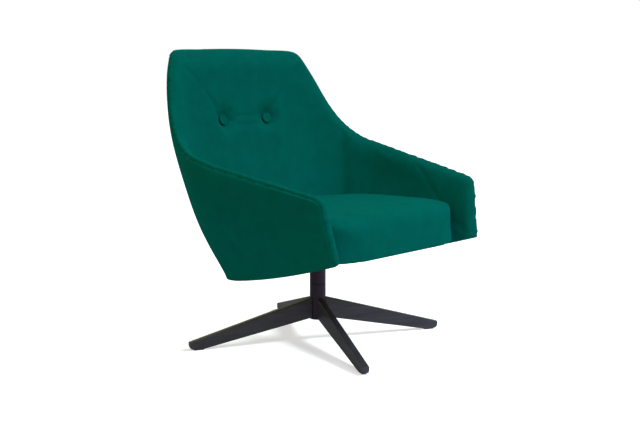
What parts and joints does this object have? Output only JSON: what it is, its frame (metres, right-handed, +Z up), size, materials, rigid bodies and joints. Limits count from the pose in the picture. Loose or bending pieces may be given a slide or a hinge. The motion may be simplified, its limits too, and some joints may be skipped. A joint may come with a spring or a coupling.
{
  "type": "swivel armchair",
  "caption": "Low upholstered swivel armchair: a wrap-around shell of leaning arms and a winged, button-tufted back with a seat cushion, on a turning column and wooden legs.",
  "frame": {"origin": "on the floor, where the swivel axis meets it", "axes": "+Z up along the swivel axis, the chair faces -Y, +X is the sitter's left"},
  "size_m": [0.7396, 0.7189, 0.812],
  "materials": {
    "stained_wood": "black stain, open grain, satin",
    "glide_plastic": "moulded",
    "dark_metal": "brown-black satin coating",
    "zinc_steel": "zinc plated",
    "bright_steel": "ground",
    "bush_bronze": "turned",
    "washer_plastic": "smooth",
    "black_plate": "black coating",
    "plywood": "raw",
    "shell_plywood": "moulded, stained black so that no seam shows it",
    "beech": "raw",
    "cloth_black": "non-woven",
    "felt": "felted wool, deep green",
    "cord": "waxed twine"
  },
  "bodies": {
    "base": {"leg_front_left": "stained_wood", "leg_rear_left": "stained_wood", "leg_rear_right": "stained_wood", "leg_front_right": "stained_wood", "glide_front_left": "glide_plastic", "glide_rear_left": "glide_plastic", "glide_rear_right": "glide_plastic", "glide_front_right": "glide_plastic", "hub_tube": "dark_metal", "hub_end_cap": "glide_plastic", "leg_bolts": "zinc_steel", "leg_nuts": "zinc_steel", "lower_bush": "bush_bronze", "upper_bush": "bush_bronze", "thrust_washer": "washer_plastic"},
    "seat": {"spindle": "bright_steel", "retaining_ring": "zinc_steel", "swivel_column": "dark_metal", "mounting_plate": "black_plate", "plate_bolts": "zinc_steel", "tee_nuts": "zinc_steel", "wedge_block_left": "beech", "wedge_block_right": "beech", "seat_board": "plywood", "board_screws": "zinc_steel", "side_rail_left": "beech", "side_rail_right": "beech", "front_rail": "beech", "rear_rail": "beech", "panel_screws": "zinc_steel", "bottom_cloth": "cloth_black", "shell_panel_left": "shell_plywood", "shell_panel_right": "shell_plywood", "shell_panel_back": "shell_plywood", "outer_cover_left": "felt", "outer_cover_right": "felt", "outer_cover_back": "felt", "arm_pad_left": "felt", "arm_pad_right": "felt", "back_pad": "felt", "front_border": "felt", "seat_cushion": "felt", "button_left": "felt", "button_right": "felt", "button_ties": "cord", "button_toggles": "glide_plastic"}
  },
  "joints": [
    {"name": "swivel", "type": "hinge", "parent": "base", "child": "seat", "pos_m": [0, 0, 0.1604], "axis": [0, 0, 1], "continuous": true}
  ]
}
